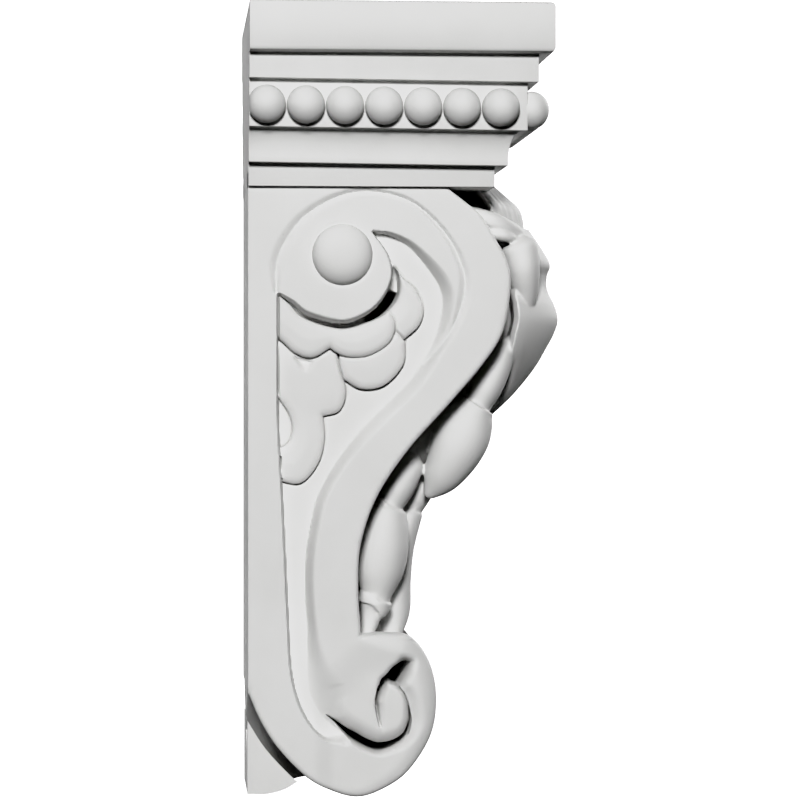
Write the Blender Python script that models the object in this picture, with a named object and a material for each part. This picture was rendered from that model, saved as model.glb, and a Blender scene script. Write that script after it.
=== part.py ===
"""Leaf corbel, cast in one piece: a moulded cap with a bead row over a scrolled, leafed bracket.

Metres, +Z up. The wall is the plane Y = 0, the front looks along -Y, and the origin is the middle
of the flat back. The side carving is drawn as depth from the wall and height from the middle,
in millimetres on a master 260 mm high, and grows with the corbel's height.
"""
import math

import bmesh
import bpy
from mathutils import Vector

# Driving sizes
HEIGHT = 0.260
CAP_WIDTH = 0.108
CAP_DEPTH = 0.099
BODY_WIDTH = 0.068
PANEL_THICKNESS = 0.012       # each carved side, outside the core
POCKET_DEPTH = 0.005          # sunk field inside the scroll band
SPIRAL_DEPTH = 0.020          # crevices and hole of the lower scroll, on into the core
WALL_OVERRUN = 0.003          # what is cast past the wall plane and cut off flat

# Cap mouldings, top to bottom
SLAB_HEIGHT = 0.0164
SLAB_ROUND = 0.0014
FRIEZE_INSET = 0.0049
FRIEZE_HEIGHT = 0.0083
BAND_INSET = 0.0082
BAND_HEIGHT = 0.0155
COVE_INSET = 0.0140
COVE_HEIGHT = 0.0093
COVE_LIP = 0.0018
COVE_ROLL = 0.0004            # how far the lip's lower corner stands in
FASCIA_INSET = 0.0180
FASCIA_HEIGHT = 0.0076
CAP_OVERLAP = 0.0049          # how far the body runs up into the cap
FRONT_DROP = 0.0009           # the beads and cove hang a little lower in front than at the wall
COVE_STEPS = 5

# Bead row
BEAD_RADIUS = 0.0062
BEAD_PITCH = 0.0127
BEAD_LIFT = 0.0020            # bead centre outside the band's face
BEAD_FIRST = 0.0056           # first bead centre from the wall, and from the band's corner
BEAD_RAISE = 0.0006           # how far the beads stand above the middle of their band

# Body
CORE_RECESS = 0.0045          # front of the core behind the scroll's edge
CORE_OVERLAP = 0.0005         # how far the core runs into the carved sides
FOOT_GAP_DEPTH = 0.022        # bottom of the gap between scroll and foot, below the carved side's face
RIM = 0.0009                  # softened rim of the side carving
EDGE_STEPS = 3                # pieces of curve between two drawn points of the scroll's edge
CARVING_STEPS = 2             # the same for the carving inside it
RING_SIDES = 8                # sides of the turned husks and leaf lobes
BEAD_SIDES = 9
BEAD_RINGS = 5
EYE_SIDES = 12
EYE_RINGS = 8

MASTER_HEIGHT = 260.0
LEAST_LEAD = 1.0              # on the drawing: least height from the band's first point to the body's top

# Scroll band, front edge from under the cap down to the lower scroll
BAND_FRONT = [(62, 76), (65.7, 71.1), (71.4, 66.5), (76.7, 62), (81.5, 54.4), (85.6, 46.5), (86.6, 37.9),
              (84, 23.4), (77, 12.2), (65.7, -1), (52.5, -15.8), (42.3, -31.3), (37, -47), (36.2, -62),
              (36.9, -74), (36.9, -76.6)]
# Lower scroll, round from the band's foot to the wall
SCROLL_EDGE = [(36.9, -76.6), (46, -76.2), (54.2, -77.6), (60.2, -86), (62.4, -97.5), (60.4, -110),
               (52.6, -121.8), (43.5, -127.8), (35.5, -129.8), (26.8, -127.4), (18.6, -122.6),
               (10.1, -113.9), (4.6, -105.6), (1.2, -98.2), (-0.6, -94)]
# Sunk field: floor outline, with the width of the slope that rises from it
FIELD_FLOOR = [(41.2, 56.2, 0.5), (41.2, 56.2, 0.5), (46.5, 55.4, 1.6), (52.6, 52.2, 2.2),
               (58.4, 45.8, 2.4), (63.2, 38.5, 2.6), (64, 31.5, 2.8), (60.8, 20.5, 3.6), (52.5, 9.6, 4),
               (45.6, 1.8, 4), (35.4, -8.6, 4.2), (25.4, -22.6, 4.4), (19, -36, 3.6), (17.2, -48, 3.2),
               (17.4, -64, 3), (18, -82, 2.8), (19, -96, 2.4), (24, -103.8, 1.6), (31.5, -109.4, 0.8),
               (31.5, -109.4, 0.8), (24.4, -109.6, 0.7), (18.2, -101.6, 0.7), (14.6, -89, 0.8),
               (13.4, -70, 0.8), (11.8, -36, 0.8), (10.2, -4, 0.8), (10.2, 20, 0.8), (10.2, 35.4, 0.8),
               (10.2, 35.4, 0.8), (14.4, 33, 0.9), (19.6, 29, 1), (30.4, 26.2, 1.1), (38.2, 28.4, 1.1),
               (44, 33.2, 1), (47.6, 40.8, 0.9), (46.4, 48.8, 0.7)]
# Quirk round the upper scroll: centre line with its half width
SCROLL_QUIRK = [(9.4, 37, 0.5), (9.6, 45.6, 1.1), (12.9, 53.2, 1.2), (18.6, 61, 1.2), (28.1, 67.3, 1.1),
                (38.3, 69.6, 1), (49.9, 67.8, 1), (58.2, 63, 1), (65.6, 54.8, 1.1), (69.9, 46.6, 1.2),
                (71.5, 39, 1.2), (69.6, 30, 1.1), (65.2, 21, 0.9), (58.5, 13, 0.5)]
QUIRK_DEPTH = 1.0
EYE_CENTRE = (30.9, 48.9)
EYE_RADIUS = 9.9
EYE_RISE = 5.2
EYE_SINK = 0.2
FIELD_PROUD = 0.2             # share of the field's depth that its slopes run on above the face
FIELD_LEAST_SLOPE = 0.3
LOBE_ROOT = 2.0               # how far the lobes' bodies go below the field's floor
LOBE_RIM = 1.2

# Leaf lobes lying in the field: outline, and how far their face stands above the floor
FIELD_LOBES = {
    "lobe_low": (2.4, [(6, 23), (6, 23), (16, 19), (27, 20), (31.5, 8.5), (32.3, 2.4), (30, -2.8),
                       (24.8, -4.4), (24.8, -4.4), (25.3, -12), (23.2, -20), (17.6, -26.4), (10.8, -25.8),
                       (6, -24), (6, -24), (6, -15.4), (11.8, -14.4), (14.5, -10.2), (13.4, -3.4),
                       (6, 9)]),
    "lobe_side": (2.8, [(42, 40), (46.6, 46), (51.7, 40.7), (55.6, 37.2), (58, 31), (56.4, 25.4),
                        (51.7, 21.1), (51.7, 21.1), (44, 20), (40, 30)]),
    "lobe_middle": (3.2, [(30, 14), (31.6, 7.8), (31.6, 7.8), (37.4, 4.6), (45, 5.8), (51.2, 12.6),
                          (51.9, 20.4), (51.9, 20.4), (44, 26), (32, 22)]),
    "lobe_high": (3.9, [(5, 32), (5, 23), (10.2, 21), (15.4, 16.4), (21.3, 14.9), (26.9, 18), (26.9, 18),
                        (32, 15.3), (39.6, 15.6), (46.6, 20), (48.5, 26.2), (44, 31), (44, 36),
                        (20, 36)]),
}

# Crevices of the lower scroll: centre line with half width, and the hole beside the curl's tip
CURL_CREVICE = [(51, -92.4, 0.7), (53.2, -98.4, 0.8), (53.3, -104.8, 1.0), (50.6, -110, 1.4),
                (45, -113.2, 1.6), (38.6, -112.2, 1.6), (32.6, -109, 1.3), (27.4, -105.2, 0.9)]
CURL_LINE = [(43.8, -106.6, 0.3), (42.5, -101, 0.4), (42.9, -95.4, 0.6), (45.2, -91.4, 0.9)]
CURL_HOLE = [(43.4, -94), (44.6, -90.6), (48.2, -87), (53, -85.4), (53, -85.4), (52.4, -89.4),
             (51.4, -93.4), (48.6, -92.2)]

# Core between the carved sides: front edge below the cap, then round the lower scroll to the foot
CORE_LOWER = [(33, -76), (46, -79), (53, -81.2), (57.6, -88), (59.4, -98), (57, -109), (50, -119),
              (41, -124.6), (32, -125.4), (24, -123), (18.4, -124.8), (12.6, -128.2), (6.6, -129.8),
              (2, -129.8), (-3, -129.8)]

# Gap between the scroll's lower edge and the foot: centre line and half width
FOOT_GAP = [(21, -127.4, 1.6), (15.6, -122.6, 2.4), (7.6, -114.2, 3), (2, -105.6, 3), (-1.6, -98, 3),
            (-4, -92, 3)]

# Husks and lobes down the front: depth, height and distance from the middle of each section's centre,
# then its radius in the side view and its radius across
HUSK_LOW = [(40.0, -79.6, 12.2, 1.9, 1.9), (42.1, -69.4, 13, 4, 4), (42.6, -67.9, 13.1, 5.7, 5.7),
            (43, -65.8, 13.2, 5.9, 5.9), (43.4, -64.8, 13.3, 5, 5), (44.4, -57, 13.8, 8, 7.4),
            (45.4, -49, 14, 8.8, 8.2), (46.2, -41, 13.8, 8, 7.8), (47.2, -35.6, 13.4, 6, 6.6),
            (47.8, -34.6, 13.3, 5.1, 5.8), (50.6, -28.8, 13, 5.5, 6.2), (54, -22.6, 12.6, 5, 5.6),
            (56, -19.2, 12.2, 3.8, 4.2), (57, -17.4, 12, 1, 1.2)]
HUSK_HIGH = [(61.4, -30.6, 12.2, 2.2, 2.2), (65, -25.4, 13.2, 6.2, 6), (69.4, -17.6, 14, 8.6, 8),
             (72.7, -10.6, 14.1, 9.3, 8.2), (75.4, -4.8, 13.8, 7.9, 7.6), (76.8, -1.8, 13.6, 6.2, 6.8),
             (77.5, -0.6, 13.5, 5, 5.9), (80.6, 5, 13.4, 5.2, 6.4), (84.2, 12.2, 13, 4.8, 5.8),
             (86.4, 17.6, 12.6, 3.9, 5), (87.6, 20.8, 12.4, 2.6, 3.6), (88.2, 22.2, 12.4, 0.8, 1)]
# Side lobes of the leaf, and the small bud between each of them and the leaf's rolled shoulder
SIDE_LOBE = [(90.4, 54.8, 14.4, 1.2, 1.2), (90.8, 54.2, 14.4, 4.4, 4), (91.4, 52.4, 14.6, 6.2, 6),
             (92.3, 49, 14.6, 6.1, 6.4), (92.9, 45, 14.6, 5.7, 6.4), (93.4, 41, 14, 5.1, 6),
             (93.8, 37, 13, 4.4, 5.2), (94, 33, 11.8, 3.4, 4), (94, 30, 10.8, 1.4, 1.6)]
BUD = [(79.6, 56.4, 18.8, 1.2, 1.2), (82.4, 56.4, 18.8, 1.9, 2.4), (86, 55.9, 18.4, 2, 2.6),
       (89, 55.2, 17.4, 1.4, 2)]
# Husk up the middle, between the low ones
HUSK_MIDDLE = [(49, -81, 0, 3, 2.4), (50.2, -71, 0, 5.6, 5), (50.6, -60, 0, 5.6, 7), (51.4, -50, 0, 5.7, 8),
               (53, -42, 0, 5.9, 7.6), (54.8, -36.6, 0, 5.6, 6.2), (55.4, -35.4, 0, 4.8, 5.4),
               (58.6, -29.6, 0, 5.2, 6.2), (60.4, -24, 0, 4.7, 5.4), (60.8, -19.6, 0, 3.4, 3.8),
               (60.8, -17.6, 0, 1.2, 1.4)]
# Stem behind the husks, up the middle
STEM = [(36, -80, 0, 6, 2.4), (40, -60, 0, 6, 6), (41.6, -46, 0, 6.5, 9), (46, -32, 0, 7.5, 10),
        (54, -18, 0, 8, 12), (63, -6, 0, 8.5, 13), (73, 6, 0, 8, 12), (80, 16, 0, 6, 9)]

# Two leaves down the middle, one over the other: height, reach from the wall, half width, and how far the
# edge lies behind the midrib
LEAF_HIGH = [(59, 96.4, 12, 5), (52, 101.2, 11, 5), (47, 103.8, 9.4, 5), (43.4, 102.8, 12, 7.6),
             (40, 102.6, 15.4, 10.8), (37, 103.4, 17.6, 12.6), (33, 105.4, 18.8, 14),
             (28.2, 106.5, 19.5, 14.8), (23.4, 105.1, 19.4, 14.4), (18, 102.2, 17.6, 12.4),
             (13, 99.3, 14, 10), (8, 95.6, 9.4, 6.6), (2, 90.4, 5, 3.6), (-4.8, 83.2, 1, 1)]
LEAF_MIDDLE = [(17, 90, 7, 4), (5, 82.4, 9, 5), (4, 81.8, 8, 4.4), (-1, 80.6, 9.4, 5), (-8.4, 79.4, 11, 5),
               (-9.6, 79, 8.4, 4.4), (-18.6, 72.7, 9.6, 4.4), (-19.8, 71.8, 7, 4), (-27, 67, 6.8, 3.4),
               (-34, 62, 1, 1)]
# Section of such a leaf from its midrib out: share of the half width, and share of the edge's fall
LEAF_BLADE = [(0, 0), (0.35, 0.2), (0.7, 0.58), (1, 1)]
LEAF_EDGE = [(0.8, 2.4), (0.3, 4)]     # behind the edge: share of the half width, and depth behind the edge
LEAF_WEB = 25.0               # depth from the wall to which the web behind the leaf runs, inside the core
# Base of the leaf under the cap: height, reach, half width
LEAF_BASE = [(77, 82.4, 11), (74, 84.6, 11.4), (70.4, 88.6, 12), (66.2, 93.1, 12.6), (60.4, 94.8, 14),
             (56, 94.6, 15), (52, 92, 13)]
LEAF_ROOT = 72.0              # depth where the base is buried in the core
LEAF_ROUND = 0.35             # share of the base's reach outside its root where its rounded front begins
LEAF_FLUTES = 5               # flutes across the base's rounded front
FLUTE_DEPTH = 0.10            # share of the rounding that a flute sinks
# Rolled shoulder of the leaf: depth, height, distance from the middle, radius
SHOULDER = [(70, 64.6, 18, 2.2), (77.6, 62.2, 18.6, 3), (84.2, 59.6, 17.4, 3.3), (89.6, 57.4, 13.6, 3),
            (93.4, 55.2, 8, 2.5), (95, 54.2, 0, 2.1)]
ROLL_SIDES = 8


def master(value):
    """A length on the 260 mm master drawing, in metres on this corbel."""
    return value * HEIGHT / MASTER_HEIGHT


def place(depth, height, across):
    """A point of the master drawing: depth from the wall, height from the middle, metres across."""
    return Vector((across, -master(depth), master(height)))


def curve_through(points, steps, closed):
    """A smooth line through the drawn points. A point given twice is a corner."""
    count = len(points)
    line = []
    for i in range(count if closed else count - 1):
        if closed:
            near = [points[(i + k) % count] for k in (-1, 0, 1, 2)]
        else:
            near = [points[min(max(i + k, 0), count - 1)] for k in (-1, 0, 1, 2)]
        if near[1] == near[2]:
            continue
        for step in range(steps):
            t = step / steps
            line.append(tuple(0.5 * (2 * b + (c - a) * t + (2 * a - 5 * b + 4 * c - d) * t ** 2
                                     + (3 * b - a - 3 * c + d) * t ** 3)
                              for a, b, c, d in zip(*near)))
    if not closed:
        line.append(tuple(float(value) for value in points[-1]))
    return line


def side_normals(line, closed):
    """Unit normals of a line in the side view, to the right of its direction."""
    count = len(line)
    normals = []
    for i in range(count):
        if closed:
            before, after = line[i - 1], line[(i + 1) % count]
        else:
            before, after = line[max(i - 1, 0)], line[min(i + 1, count - 1)]
        along = (after[0] - before[0], after[1] - before[1])
        length = math.hypot(*along)
        normals.append((along[1] / length, -along[0] / length))
    return normals


def offset(line, distances):
    """A closed outline moved out by its distances; the outline runs anticlockwise in depth and height."""
    return [(point[0] + normal[0] * distance, point[1] + normal[1] * distance)
            for point, normal, distance in zip(line, side_normals(line, True), distances)]


def anticlockwise(line):
    area = sum(a[0] * b[1] - b[0] * a[1] for a, b in zip(line, line[1:] + line[:1]))
    return line if area > 0 else line[::-1]


def new_object(name, mesh_data, collection):
    mesh = bpy.data.meshes.new(name)
    bmesh.ops.recalc_face_normals(mesh_data, faces=mesh_data.faces)
    if mesh_data.calc_volume(signed=True) < 0:
        bmesh.ops.reverse_faces(mesh_data, faces=mesh_data.faces)
    mesh_data.to_mesh(mesh)
    mesh_data.free()
    made = bpy.data.objects.new(name, mesh)
    collection.objects.link(made)
    made.hide_render = True
    made.display_type = "WIRE"
    return made


def loft(name, rings, collection):
    """A closed body through rings of equally many points, with flat ends."""
    body = bmesh.new()
    rows = [[body.verts.new(point) for point in ring] for ring in rings]
    body.faces.new(rows[0])
    body.faces.new(rows[-1][::-1])
    for low, high in zip(rows, rows[1:]):
        for i in range(len(low)):
            k = (i + 1) % len(low)
            body.faces.new((low[i], high[i], high[k], low[k]))
    return new_object(name, body, collection)


def plate(name, outline, low, high, rim, collection):
    """The outline extruded across the corbel from low to high, its outer rim softened."""
    outline = anticlockwise([point[:2] for point in outline])
    inner = offset(outline, [-rim] * len(outline))
    rings = [[place(d, z, low) for d, z in outline]]
    if rim:
        rings.append([place(d, z, high - master(rim)) for d, z in outline])
    rings.append([place(d, z, high) for d, z in inner])
    return loft(name, rings, collection)


def crevice(name, path, floor, top, collection):
    """A tapering slot cut straight in, along a centre line with half widths."""
    line = curve_through(path, CARVING_STEPS, False)
    normals = side_normals(line, False)
    right = [(d + n[0] * w, z + n[1] * w) for (d, z, w), n in zip(line, normals)]
    left = [(d - n[0] * w, z - n[1] * w) for (d, z, w), n in zip(line, normals)]
    return plate(name, right + left[::-1], floor, top, 0, collection)


def quirk(name, path, face, depth, collection):
    """A fine V cut along a line: the section is a triangle that opens outwards above the face."""
    line = curve_through(path, CARVING_STEPS, False)
    rings = []
    for (d, z, w), n in zip(line, side_normals(line, False)):
        open_width = 2 * w
        rings.append([place(d + n[0] * open_width, z + n[1] * open_width, face + master(depth)),
                      place(d - n[0] * open_width, z - n[1] * open_width, face + master(depth)),
                      place(d, z, face - master(depth))])
    return loft(name, rings, collection)


def stalk(name, path, collection):
    """A turned form along a line of the side view, through the drawn sections."""
    rings = []
    for (d, z, across, deep, wide), normal in zip(path, side_normals(path, False)):
        ring = []
        for k in range(RING_SIDES):
            turn = math.tau * (k + 0.5) / RING_SIDES
            reach = deep * math.cos(turn)
            ring.append(place(d + normal[0] * reach, z + normal[1] * reach,
                              master(across + wide * math.sin(turn))))
        rings.append(ring)
    return loft(name, rings, collection)


def ball(name, centre, radii, segments, rings, collection):
    body = bmesh.new()
    bmesh.ops.create_uvsphere(body, u_segments=segments, v_segments=rings, radius=1)
    for vertex in body.verts:
        vertex.co = Vector((vertex.co.x * radii[0], vertex.co.y * radii[1], vertex.co.z * radii[2])) + centre
    return new_object(name, body, collection)


def box(name, low, high, collection):
    (x0, y0, z0), (x1, y1, z1) = low, high
    rings = [[Vector((x, y, z)) for x, y in ((x0, y0), (x1, y0), (x1, y1), (x0, y1))] for z in (z0, z1)]
    return loft(name, rings, collection)


def cap_profile():
    """Rows of the cap from its top: inset from the slab, drop below the top, extra drop in front."""
    rows = [(SLAB_ROUND, 0, 0), (0, SLAB_ROUND, 0), (0, SLAB_HEIGHT - SLAB_ROUND, 0),
            (SLAB_ROUND, SLAB_HEIGHT, 0), (FRIEZE_INSET, SLAB_HEIGHT, 0)]
    drop = SLAB_HEIGHT + FRIEZE_HEIGHT
    rows += [(FRIEZE_INSET, drop, FRONT_DROP), (BAND_INSET, drop, FRONT_DROP)]
    drop += BAND_HEIGHT
    rows.append((BAND_INSET, drop, FRONT_DROP))
    for step in range(COVE_STEPS + 1):
        turn = 0.5 * math.pi * step / COVE_STEPS
        rows.append((COVE_INSET - (COVE_INSET - BAND_INSET - COVE_LIP) * (1 - math.sin(turn)),
                     drop + COVE_HEIGHT * (1 - math.cos(turn)), FRONT_DROP))
    drop += COVE_HEIGHT + COVE_LIP
    rows += [(COVE_INSET + COVE_ROLL, drop, FRONT_DROP), (FASCIA_INSET, drop, FRONT_DROP),
             (FASCIA_INSET, drop + FASCIA_HEIGHT, 0)]
    return rows


def make_cap(collection):
    """The square cap as a loft of mitred rectangles, from the slab down to the fascia."""
    rings = []
    for inset, drop, front_drop in cap_profile():
        side = CAP_WIDTH / 2 - inset
        front = -(CAP_DEPTH - inset)
        top = HEIGHT / 2 - drop
        rings.append([Vector((-side, WALL_OVERRUN, top)), Vector((side, WALL_OVERRUN, top)),
                      Vector((side, front, top - front_drop)), Vector((-side, front, top - front_drop))])
    return loft("cap", rings, collection)


def make_beads(collection):
    """Beads along the side, evenly pitched, and across the front, fitted between the corners."""
    middle = HEIGHT / 2 - SLAB_HEIGHT - FRIEZE_HEIGHT - BAND_HEIGHT / 2 + BEAD_RAISE
    side = CAP_WIDTH / 2 - BAND_INSET
    front = CAP_DEPTH - BAND_INSET
    radii = (BEAD_RADIUS,) * 3
    side_count = int((front - BEAD_FIRST - BEAD_RADIUS) / BEAD_PITCH) + 1
    for i in range(side_count):
        depth = BEAD_FIRST + i * BEAD_PITCH
        centre = Vector((side + BEAD_LIFT, -depth, middle - FRONT_DROP * depth / CAP_DEPTH))
        ball(f"bead_side_{i}", centre, radii, BEAD_SIDES, BEAD_RINGS, collection)
    span = 2 * (side - BEAD_FIRST)
    gaps = max(2, 2 * round(span / BEAD_PITCH / 2))
    for i in range(gaps + 1):
        centre = Vector(((i / gaps - 0.5) * span, -(front + BEAD_LIFT), middle - FRONT_DROP))
        ball(f"bead_front_{i}", centre, radii, BEAD_SIDES, BEAD_RINGS, collection)


def body_top():
    """Height, on the master drawing, to which the body runs up inside the cap."""
    cap_height = SLAB_HEIGHT + FRIEZE_HEIGHT + BAND_HEIGHT + COVE_HEIGHT + COVE_LIP + FASCIA_HEIGHT
    return (HEIGHT / 2 - cap_height + CAP_OVERLAP) * MASTER_HEIGHT / HEIGHT


def band_front():
    """The front edge of the band: its drawn points below the body's top, led up to that top on the first slope."""
    top = body_top()
    (first_depth, first_height), (next_depth, next_height) = BAND_FRONT[:2]
    lean = (next_depth - first_depth) / (first_height - next_height)
    below = [point for point in BAND_FRONT if point[1] < top - LEAST_LEAD]
    return [(below[0][0] - lean * (top - below[0][1]), top)] + below


def band_outline():
    """Side view of the scroll: flat back, front edge of the band, then round the lower scroll."""
    band = curve_through(band_front(), EDGE_STEPS, False)
    scroll = curve_through(SCROLL_EDGE, EDGE_STEPS, False)
    overrun = WALL_OVERRUN * MASTER_HEIGHT / HEIGHT
    return [(-overrun, body_top())] + band + scroll[1:] + [(-overrun, SCROLL_EDGE[-1][1])]


def core_outline():
    """Side view of the core: set back from the band in front, and down to the foot at the wall."""
    recess = CORE_RECESS * MASTER_HEIGHT / HEIGHT
    band = curve_through(band_front()[:-2], CARVING_STEPS, False)
    front = [(d + normal[0] * recess, z + normal[1] * recess)
             for (d, z), normal in zip(band, side_normals(band, False))]
    overrun = WALL_OVERRUN * MASTER_HEIGHT / HEIGHT
    lower = curve_through(CORE_LOWER[:-1], CARVING_STEPS, False)
    return [(-overrun, body_top())] + front + lower + [(-overrun, CORE_LOWER[-1][1])]


def make_field(face, collection):
    """The sunk field between band and back: a flat floor with sloping sides."""
    line = anticlockwise(curve_through(FIELD_FLOOR, CARVING_STEPS, True))
    floor = [point[:2] for point in line]
    slopes = [(1 + FIELD_PROUD) * max(point[2], FIELD_LEAST_SLOPE) for point in line]
    rings = [[place(d, z, face - POCKET_DEPTH) for d, z in floor],
             [place(d, z, face + FIELD_PROUD * POCKET_DEPTH) for d, z in offset(floor, slopes)]]
    return loft("field", rings, collection)


def make_leaf_base(collection):
    """The leaf's base as a stack of level sections, each a fluted round front on a root in the core."""
    rings = []
    _, top_reach, top_half = LEAF_BASE[0]
    for height, reach, half in [(max(LEAF_BASE[0][0], body_top()), top_reach, top_half)] + LEAF_BASE[1:]:
        ring = [place(LEAF_ROOT, height, -master(half)), place(LEAF_ROOT, height, master(half))]
        start = LEAF_ROOT + LEAF_ROUND * (reach - LEAF_ROOT)
        for k in range(2 * LEAF_FLUTES + 1):
            turn = math.pi * k / (2 * LEAF_FLUTES)
            swell = 1 - FLUTE_DEPTH * ((k + LEAF_FLUTES) % 2)
            ring.append(place(start + swell * (reach - start) * math.sin(turn), height,
                              swell * master(half) * math.cos(turn)))
        rings.append(ring)
    return loft("leaf_base", rings, collection)


def make_leaf(name, sections, collection):
    """A lobed leaf hanging down the middle: a blade that falls away to its edges, on a web into the core."""
    rings = []
    for height, reach, half, fall in sections:
        near = [(reach - lower * fall, share * half) for share, lower in LEAF_BLADE]
        near += [(reach - fall - behind, share * half) for share, behind in LEAF_EDGE]
        near.append((LEAF_WEB, near[-1][1]))
        ring = [place(depth, height, master(across)) for depth, across in near]
        ring += [place(depth, height, -master(across)) for depth, across in near[:0:-1]]
        rings.append(ring)
    return loft(name, rings, collection)


def make_shoulder(collection):
    """The rolled edge that wraps the leaf from the near side to the middle, and on to the far side."""
    path = list(SHOULDER)
    path += [(d, z, -across, radius) for d, z, across, radius in path[-2::-1]]
    centres = [place(d, z, master(across)) for d, z, across, radius in path]
    rings = []
    for i, centre in enumerate(centres):
        along = (centres[min(i + 1, len(centres) - 1)] - centres[max(i - 1, 0)]).normalized()
        side = along.cross(Vector((0, 0, 1))).normalized()
        rise = side.cross(along)
        radius = master(path[i][3])
        rings.append([centre + radius * (math.cos(turn) * side + math.sin(turn) * rise)
                      for turn in (math.tau * k / ROLL_SIDES for k in range(ROLL_SIDES))])
    return loft("shoulder", rings, collection)


def make_front(collection):
    """Leaves, side lobes and husks between the two scroll bands."""
    make_leaf_base(collection)
    make_shoulder(collection)
    make_leaf("leaf_high", LEAF_HIGH, collection)
    make_leaf("leaf_middle", LEAF_MIDDLE, collection)
    for name, path in (("side_lobe", SIDE_LOBE), ("bud", BUD), ("stem", STEM), ("husk_high", HUSK_HIGH),
                       ("husk_middle", HUSK_MIDDLE), ("husk_low", HUSK_LOW)):
        stalk(name, path, collection)


def make_side(face, collection):
    """Eye of the upper scroll and the leaf lobes in the sunk field."""
    floor = face - POCKET_DEPTH
    for name, (rise, outline) in FIELD_LOBES.items():
        line = curve_through(outline, CARVING_STEPS, True)
        plate(name, line, floor - master(LOBE_ROOT), floor + master(rise), LOBE_RIM, collection)
    radii = (master(EYE_RISE), master(EYE_RADIUS), master(EYE_RADIUS))
    ball("eye", place(*EYE_CENTRE, face - master(EYE_SINK)), radii, EYE_SIDES, EYE_RINGS, collection)


def mirror_side(collection, names):
    """A copy of each named shape on the corbel's other side."""
    for name in names:
        mesh_data = bmesh.new()
        mesh_data.from_mesh(collection.objects[name].data)
        for vertex in mesh_data.verts:
            vertex.co.x = -vertex.co.x
        new_object(name + "_far", mesh_data, collection)


def new_collection(name):
    made = bpy.data.collections.new(name)
    bpy.context.scene.collection.children.link(made)
    return made


def combine(body, operation, collection):
    step = body.modifiers.new(collection.name, "BOOLEAN")
    step.operation = operation
    step.solver = "EXACT"
    step.operand_type = "COLLECTION"
    step.collection = collection


def primer_material():
    """Factory primer on cast polyurethane: matt, slightly warm white."""
    material = bpy.data.materials.new("white_primer")
    material.use_nodes = True
    shader = material.node_tree.nodes["Principled BSDF"]
    shader.inputs["Base Color"].default_value = (0.80, 0.80, 0.79, 1)
    shader.inputs["Roughness"].default_value = 0.6
    shader.inputs["Metallic"].default_value = 0
    return material


def main():
    for old in list(bpy.data.objects):
        bpy.data.objects.remove(old)

    face = BODY_WIDTH / 2
    inner = face - PANEL_THICKNESS
    undercuts = new_collection("undercuts")
    masses = new_collection("masses")
    sinkings = new_collection("sinkings")
    carving = new_collection("carving")
    crevices = new_collection("crevices")

    crevice("foot_gap", FOOT_GAP, face - FOOT_GAP_DEPTH, face, undercuts)
    make_cap(masses)
    plate("panel", band_outline(), inner, face, RIM * MASTER_HEIGHT / HEIGHT, masses)
    make_field(face, sinkings)
    make_side(face, carving)
    make_front(carving)
    make_beads(carving)

    crevice("curl_crevice", CURL_CREVICE, face - SPIRAL_DEPTH, face + RIM, crevices)
    crevice("curl_line", CURL_LINE, face - SPIRAL_DEPTH, face + RIM, crevices)
    hole = curve_through(CURL_HOLE, CARVING_STEPS, True)
    plate("curl_hole", hole, face - SPIRAL_DEPTH, face + RIM, 0, crevices)
    quirk("scroll_quirk", SCROLL_QUIRK, face, QUIRK_DEPTH, crevices)
    for collection in (undercuts, masses, sinkings, carving, crevices):
        sided = [shape.name for shape in collection.objects if min(v.co.x for v in shape.data.vertices) > 0]
        mirror_side(collection, sided)
    box("wall", (-HEIGHT, 0, -HEIGHT), (HEIGHT, 2 * WALL_OVERRUN, HEIGHT), crevices)

    half = inner + CORE_OVERLAP
    core = plate("corbel", core_outline(), -half, half, 0, bpy.context.scene.collection)
    core.hide_render = False
    core.display_type = "TEXTURED"
    combine(core, "DIFFERENCE", undercuts)
    combine(core, "UNION", masses)
    combine(core, "DIFFERENCE", sinkings)
    combine(core, "UNION", carving)
    combine(core, "DIFFERENCE", crevices)
    core.data.materials.append(primer_material())


main()
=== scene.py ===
# %% [markdown]
# # A cast leaf corbel
# The real object is a small wall corbel, 260 mm high, cast in one piece in rigid foam and sprayed with
# white primer. Every edge on it is a little soft, because it came out of a mould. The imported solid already
# has the right sizes and places, but it is faceted. Here the same forms are drawn finer: the flat side
# carving as a height map on a dense mesh, the mouldings as a loft with bevelled edges, the beads with
# Geometry Nodes, and the leaves and husks as turned forms that a voxel remesh melts into one surface.

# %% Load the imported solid
import math

import bmesh
import bpy
import numpy as np
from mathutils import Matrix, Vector
from mathutils.geometry import delaunay_2d_cdt
from mathutils.kdtree import KDTree


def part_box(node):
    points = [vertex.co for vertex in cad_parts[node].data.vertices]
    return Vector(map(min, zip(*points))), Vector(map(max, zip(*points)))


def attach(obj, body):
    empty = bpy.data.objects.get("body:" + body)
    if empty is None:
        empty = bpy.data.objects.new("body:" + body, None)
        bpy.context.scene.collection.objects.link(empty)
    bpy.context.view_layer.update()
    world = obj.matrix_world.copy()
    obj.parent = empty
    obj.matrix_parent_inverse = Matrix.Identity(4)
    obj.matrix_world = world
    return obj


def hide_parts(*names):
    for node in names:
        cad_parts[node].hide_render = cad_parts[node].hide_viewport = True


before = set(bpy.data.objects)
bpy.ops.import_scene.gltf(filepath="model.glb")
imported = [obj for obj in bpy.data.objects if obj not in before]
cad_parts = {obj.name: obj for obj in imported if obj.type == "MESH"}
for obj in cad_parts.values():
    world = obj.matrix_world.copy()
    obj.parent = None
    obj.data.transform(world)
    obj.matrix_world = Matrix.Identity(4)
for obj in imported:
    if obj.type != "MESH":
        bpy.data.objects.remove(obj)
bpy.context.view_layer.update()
low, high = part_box("corbel")
print("solid, mm:", [round(1000 * (b - a), 1) for a, b in zip(low, high)])

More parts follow.
